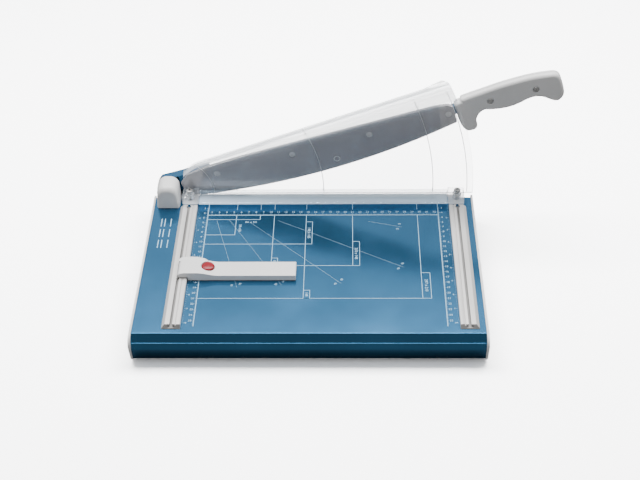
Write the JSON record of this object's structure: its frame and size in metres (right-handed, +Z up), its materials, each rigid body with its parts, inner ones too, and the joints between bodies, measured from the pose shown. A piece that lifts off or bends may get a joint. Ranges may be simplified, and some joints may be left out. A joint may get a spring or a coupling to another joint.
{
  "type": "lever paper guillotine",
  "caption": "Lever paper guillotine: folded metal table, swinging blade arm with grip, clear guard with press bar, side rails and sliding backstop.",
  "frame": {"origin": "bottom centre of the object's bounding box, on the surface that the rubber feet stand on", "axes": "+X along the cut from the pivot to the grip, +Y away from the operator, +Z up"},
  "size_m": [0.5464, 0.3162, 0.231],
  "materials": {
    "blue_paint": "satin powder coat",
    "light_grey_plastic": "fine moulded texture",
    "grey_aluminium": "anodised extrusion",
    "blade_steel": "ground",
    "zinc_steel": "zinc plated",
    "cast_iron": "as cast",
    "bronze": "sintered",
    "black_rubber": "matte",
    "clear_plastic": "clear moulded plastic",
    "red_plastic": "gloss"
  },
  "bodies": {
    "frame": {"bracket_screw_1": "zinc_steel", "bracket_screw_2": "zinc_steel", "clamp_spring_left": "zinc_steel", "clamp_spring_right": "zinc_steel", "cross_member_left": "zinc_steel", "cross_member_right": "zinc_steel", "end_cap_left": "light_grey_plastic", "end_cap_right": "light_grey_plastic", "foot_back_left": "black_rubber", "foot_back_right": "black_rubber", "foot_front_left": "black_rubber", "foot_front_right": "black_rubber", "foot_screw_back_left": "zinc_steel", "foot_screw_back_right": "zinc_steel", "foot_screw_front_left": "zinc_steel", "foot_screw_front_right": "zinc_steel", "guide_rail_left": "grey_aluminium", "guide_rail_right": "grey_aluminium", "guide_screw_left": "zinc_steel", "guide_screw_right": "zinc_steel", "lower_blade": "blade_steel", "lower_blade_screw_1": "zinc_steel", "lower_blade_screw_2": "zinc_steel", "lower_blade_screw_3": "zinc_steel", "lower_blade_screw_4": "zinc_steel", "pivot_bracket": "cast_iron", "pivot_cover": "light_grey_plastic", "pivot_nut": "zinc_steel", "pivot_shaft": "zinc_steel", "spring_washer": "zinc_steel", "table_shell": "blue_paint", "thrust_washer": "bronze"},
    "arm": {"blade_arm": "blue_paint", "blade_screw_1": "zinc_steel", "blade_screw_2": "zinc_steel", "blade_screw_3": "zinc_steel", "blade_screw_4": "zinc_steel", "handle_screw_1": "zinc_steel", "handle_screw_2": "zinc_steel", "handle_shell_front": "light_grey_plastic", "handle_shell_rear": "light_grey_plastic", "pivot_bush": "bronze", "upper_blade": "blade_steel"},
    "clamp": {"blade_guard": "clear_plastic", "clamp_bar": "clear_plastic", "clamp_block_left": "clear_plastic", "clamp_block_right": "clear_plastic"},
    "backstop": {"backstop_arm": "light_grey_plastic", "slide_shoe": "zinc_steel", "button_spring": "zinc_steel"},
    "button": {"release_button": "red_plastic"}
  },
  "joints": [
    {"name": "arm_pivot", "type": "hinge", "parent": "frame", "child": "arm", "pos_m": [-0.24968, 0.14014, 0.0455], "axis": [0, 1, 0], "range_deg": [0, 18]},
    {"name": "clamp_press", "type": "slide", "parent": "frame", "child": "clamp", "axis": [0, 0, -1], "range_m": [0, 0.0042], "deforming": ["clamp_spring_left", "clamp_spring_right"]},
    {"name": "backstop_slide", "type": "slide", "parent": "frame", "child": "backstop", "axis": [0, 1, 0], "range_m": [-0.085, 0.108]},
    {"name": "button_press", "type": "slide", "parent": "backstop", "child": "button", "axis": [0, 0, -1], "range_m": [0, 0.0025], "stiffness_N_per_m": 800, "deforming": ["button_spring"]}
  ],
  "couplings": [
    {"joint": "clamp_press", "follows": "arm_pivot", "m_per_rad": 0.01273}
  ]
}
